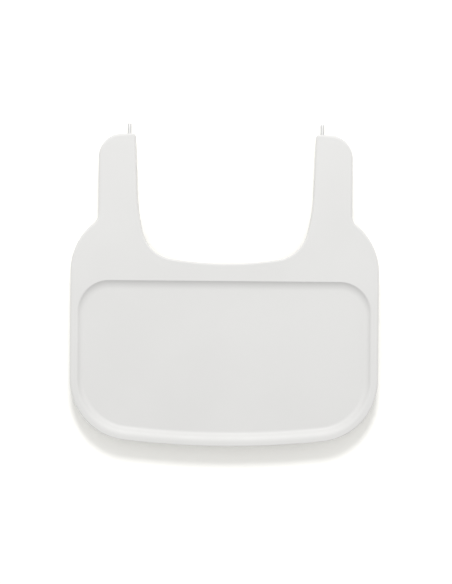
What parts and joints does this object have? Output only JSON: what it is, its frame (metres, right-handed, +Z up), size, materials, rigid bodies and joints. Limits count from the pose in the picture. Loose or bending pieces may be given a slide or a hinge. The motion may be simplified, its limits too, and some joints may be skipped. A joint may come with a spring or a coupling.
{
  "type": "high chair tray",
  "caption": "Moulded high-chair tray with a recessed floor, a belly cut-out, two arms with sprung lock pins, rail hooks and finger triggers underneath.",
  "frame": {"origin": "under the centre of the bounding box, on the plane that the feet and hooks stand on", "axes": "+X to the right seen from the front, +Y towards the child and the arm ends, +Z up"},
  "size_m": [0.45, 0.471, 0.04],
  "materials": {
    "shell_white": "satin moulded white ABS with a very fine texture",
    "hook_nylon": "moulded light grey nylon",
    "trigger_nylon": "moulded light grey nylon with grip lines",
    "bush_pom": "natural white acetal",
    "foot_rubber": "matt grey rubber",
    "pin_steel": "ground and nickel-plated steel rod",
    "spring_steel": "zinc-plated spring wire",
    "screw_zinc": "zinc-plated screws"
  },
  "bodies": {
    "tray": {"top_shell": "shell_white", "bottom_cover": "shell_white", "cover_screws": "screw_zinc", "hook_screws": "screw_zinc", "foot_screws": "screw_zinc", "guide_screws": "screw_zinc", "left_rail_hook": "hook_nylon", "left_front_foot": "foot_rubber", "left_guide_bush": "bush_pom", "left_guide_block": "bush_pom", "left_lock_spring": "spring_steel", "right_rail_hook": "hook_nylon", "right_front_foot": "foot_rubber", "right_guide_bush": "bush_pom", "right_guide_block": "bush_pom", "right_lock_spring": "spring_steel"},
    "left_lock": {"left_lock_pin": "pin_steel", "left_pin_collar": "bush_pom", "left_trigger": "trigger_nylon", "left_roll_pin": "pin_steel"},
    "right_lock": {"right_lock_pin": "pin_steel", "right_pin_collar": "bush_pom", "right_trigger": "trigger_nylon", "right_roll_pin": "pin_steel"}
  },
  "joints": [
    {"name": "left_lock_slide", "type": "slide", "parent": "tray", "child": "left_lock", "axis": [0, -1, 0], "range_m": [0, 0.016], "stiffness_N_per_m": 350, "springref_m": -0.006, "deforming": ["left_lock_spring"]},
    {"name": "right_lock_slide", "type": "slide", "parent": "tray", "child": "right_lock", "axis": [0, -1, 0], "range_m": [0, 0.016], "stiffness_N_per_m": 350, "springref_m": -0.006, "deforming": ["right_lock_spring"]}
  ]
}
